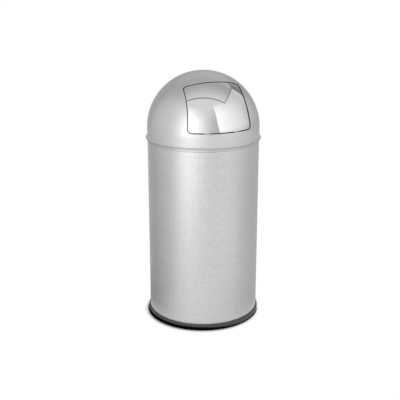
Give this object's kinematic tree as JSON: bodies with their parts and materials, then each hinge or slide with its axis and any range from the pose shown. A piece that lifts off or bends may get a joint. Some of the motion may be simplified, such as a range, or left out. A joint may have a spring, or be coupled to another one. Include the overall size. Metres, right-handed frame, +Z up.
{
  "type": "dome top waste receptacle",
  "caption": "Round sheet-steel waste receptacle: a cylinder with a lift-off dome, a sprung push flap, a black floor ring and a lift-out bucket with a wire handle.",
  "frame": {"origin": "on the bin's axis, on the floor that it stands on", "axes": "+Z up along the bin's axis; the push flap faces -Y; +X to the right of someone who stands in front of the flap, facing it"},
  "size_m": [0.351, 0.351, 0.765],
  "materials": {
    "body_steel": "satin steel sheet",
    "dome_steel": "fine satin steel sheet",
    "flap_mirror": "mirror-polished steel sheet",
    "galvanised": "galvanised sheet, spangled",
    "zinc_plate": "zinc-plated pressing or wire",
    "spring_steel": "oiled spring wire",
    "ring_plastic": "moulded black plastic",
    "nylon": "natural nylon",
    "rubber": "black rubber"
  },
  "bodies": {
    "body": {"body_shell": "body_steel", "base_plate": "galvanised", "base_ring": "ring_plastic"},
    "bucket": {"bucket_shell": "galvanised", "bucket_bottom": "galvanised", "bucket_rim_wire": "zinc_plate", "bucket_ear_left": "zinc_plate", "bucket_ear_right": "zinc_plate", "bucket_ear_rivets": "zinc_plate"},
    "handle": {"bucket_handle": "zinc_plate"},
    "dome": {"dome_shell": "dome_steel", "dome_collar": "galvanised", "hinge_bracket_left": "zinc_plate", "hinge_bracket_right": "zinc_plate", "hinge_pin": "zinc_plate", "hinge_pin_clip": "spring_steel", "flap_spring_left": "spring_steel", "flap_spring_right": "spring_steel"},
    "flap": {"flap_panel": "flap_mirror", "flap_arm_left": "zinc_plate", "flap_arm_right": "zinc_plate", "hinge_bush_left": "nylon", "hinge_bush_right": "nylon", "stop_tab_left": "zinc_plate", "stop_tab_right": "zinc_plate", "stop_pad_left": "rubber", "stop_pad_right": "rubber"}
  },
  "joints": [
    {"name": "bucket_lift", "type": "slide", "parent": "body", "child": "bucket", "axis": [0, 0, 1], "range_m": [0, 0.6]},
    {"name": "handle_swing", "type": "hinge", "parent": "bucket", "child": "handle", "pos_m": [0, 0, 0.5568], "axis": [1, 0, 0], "range_deg": [0, 180]},
    {"name": "dome_lift", "type": "slide", "parent": "bucket", "child": "dome", "axis": [0, 0, 1], "range_m": [0, 0.4]},
    {"name": "flap_swing", "type": "hinge", "parent": "dome", "child": "flap", "pos_m": [0, -0.055, 0.733], "axis": [1, 0, 0], "range_deg": [0, 55], "stiffness_Nm_per_rad": 0.35, "springref_deg": -57.3, "deforming": ["flap_spring_left", "flap_spring_right"]}
  ]
}
